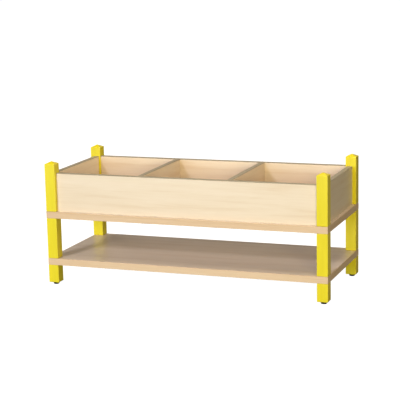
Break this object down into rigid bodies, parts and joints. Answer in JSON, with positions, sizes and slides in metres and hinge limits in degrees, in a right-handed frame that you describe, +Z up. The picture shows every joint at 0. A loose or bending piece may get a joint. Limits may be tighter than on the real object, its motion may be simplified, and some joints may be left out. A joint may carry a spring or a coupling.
{
  "type": "picture book browser bin",
  "caption": "Low free-standing browser bin for picture books: open compartments side by side over a storage shelf, on square stacked posts with levelling glides.",
  "frame": {"origin": "on the floor, under the middle of the bin", "axes": "+X along the width to the right as seen from the front, +Y to the back, +Z up; the front faces -Y"},
  "size_m": [1.2, 0.5, 0.52],
  "materials": {
    "yellow_lacquer": "opaque bright yellow satin lacquer on solid wood",
    "maple_decor": "satin melamine face in a pale maple decor with fine grain along the length",
    "beech_band": "satin edge band in a warmer beech tone",
    "plywood": "raw birch plywood",
    "zinc_steel": "bright zinc plate",
    "black_plastic": "moulded black plastic"
  },
  "bodies": {
    "frame": {"back_left_foot_post": "yellow_lacquer", "back_left_middle_post": "yellow_lacquer", "back_left_sleeve_nut": "zinc_steel", "back_left_tie_rod": "zinc_steel", "back_left_top_insert": "zinc_steel", "back_left_top_post": "yellow_lacquer", "back_panel": "maple_decor", "back_panel_left_tongue": "plywood", "back_panel_right_tongue": "plywood", "back_panel_top_edge": "beech_band", "back_right_foot_post": "yellow_lacquer", "back_right_middle_post": "yellow_lacquer", "back_right_sleeve_nut": "zinc_steel", "back_right_tie_rod": "zinc_steel", "back_right_top_insert": "zinc_steel", "back_right_top_post": "yellow_lacquer", "bin_floor": "maple_decor", "bin_floor_back_edge": "beech_band", "bin_floor_front_edge": "beech_band", "bin_floor_left_edge": "beech_band", "bin_floor_right_edge": "beech_band", "front_left_foot_post": "yellow_lacquer", "front_left_middle_post": "yellow_lacquer", "front_left_sleeve_nut": "zinc_steel", "front_left_tie_rod": "zinc_steel", "front_left_top_insert": "zinc_steel", "front_left_top_post": "yellow_lacquer", "front_panel": "maple_decor", "front_panel_left_tongue": "plywood", "front_panel_right_tongue": "plywood", "front_panel_top_edge": "beech_band", "front_right_foot_post": "yellow_lacquer", "front_right_middle_post": "yellow_lacquer", "front_right_sleeve_nut": "zinc_steel", "front_right_tie_rod": "zinc_steel", "front_right_top_insert": "zinc_steel", "front_right_top_post": "yellow_lacquer", "left_divider": "maple_decor", "left_divider_top_edge": "beech_band", "left_panel": "maple_decor", "left_panel_back_tongue": "plywood", "left_panel_front_tongue": "plywood", "left_panel_top_edge": "beech_band", "lower_shelf": "maple_decor", "lower_shelf_back_edge": "beech_band", "lower_shelf_front_edge": "beech_band", "lower_shelf_left_edge": "beech_band", "lower_shelf_right_edge": "beech_band", "right_divider": "maple_decor", "right_divider_top_edge": "beech_band", "right_panel": "maple_decor", "right_panel_back_tongue": "plywood", "right_panel_front_tongue": "plywood", "right_panel_top_edge": "beech_band"},
    "front_left_glide": {"front_left_levelling_glide": "black_plastic"},
    "front_right_glide": {"front_right_levelling_glide": "black_plastic"},
    "back_left_glide": {"back_left_levelling_glide": "black_plastic"},
    "back_right_glide": {"back_right_levelling_glide": "black_plastic"}
  },
  "joints": [
    {"name": "front_left_glide_travel", "type": "slide", "parent": "frame", "child": "front_left_glide", "axis": [0, 0, 1], "range_m": [-0.012, 0]},
    {"name": "front_right_glide_travel", "type": "slide", "parent": "frame", "child": "front_right_glide", "axis": [0, 0, 1], "range_m": [-0.012, 0]},
    {"name": "back_left_glide_travel", "type": "slide", "parent": "frame", "child": "back_left_glide", "axis": [0, 0, 1], "range_m": [-0.012, 0]},
    {"name": "back_right_glide_travel", "type": "slide", "parent": "frame", "child": "back_right_glide", "axis": [0, 0, 1], "range_m": [-0.012, 0]}
  ]
}
